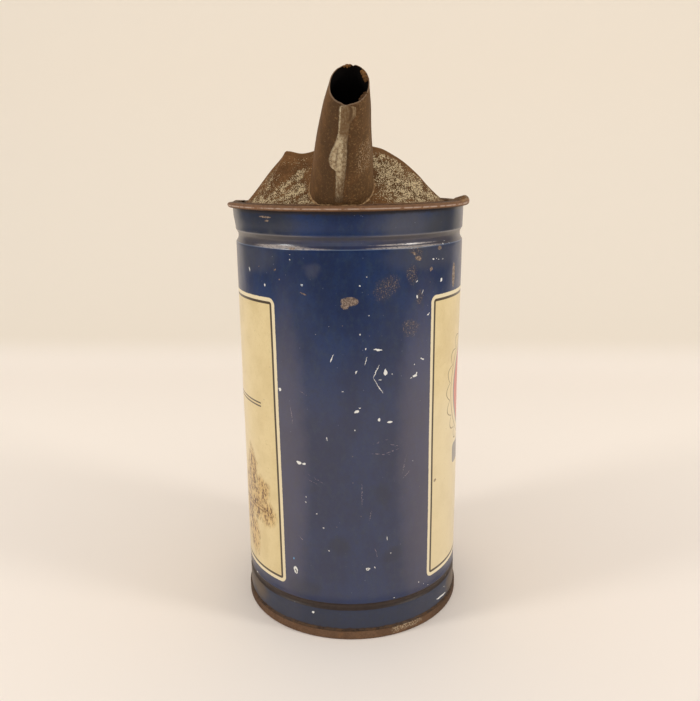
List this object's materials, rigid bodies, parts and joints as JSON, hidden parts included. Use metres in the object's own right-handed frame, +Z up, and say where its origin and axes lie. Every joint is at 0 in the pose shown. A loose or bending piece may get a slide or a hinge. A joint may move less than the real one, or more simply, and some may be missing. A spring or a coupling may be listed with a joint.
{
  "type": "oil mixing can",
  "caption": "Tall round lithographed tin can with a half-cone hood at the open top and a tapered pouring spout leaning forward, soldered seams and a flat base",
  "frame": {"origin": "centre of the flat base disc, on the plane the can stands on", "axes": "+Z up along the axis of the can, -Y towards the spout, +X to the right of someone who faces the spout"},
  "size_m": [0.0944, 0.1057, 0.211],
  "materials": {
    "litho_tin": "dark blue lithographed tinplate, scratched, with cream panels at the sides",
    "rusted_tin": "brown rusted tinplate with specks of tin left",
    "base_tin": "brown rusted tinplate",
    "solder": "dull grey soft solder"
  },
  "bodies": {
    "root": {"body_shell": "litho_tin", "side_seam_solder": "solder", "bottom_cap": "base_tin", "bottom_solder": "solder", "hood": "rusted_tin", "spout": "rusted_tin", "spout_seam_solder": "solder", "spout_foot_solder": "solder"}
  },
  "joints": []
}
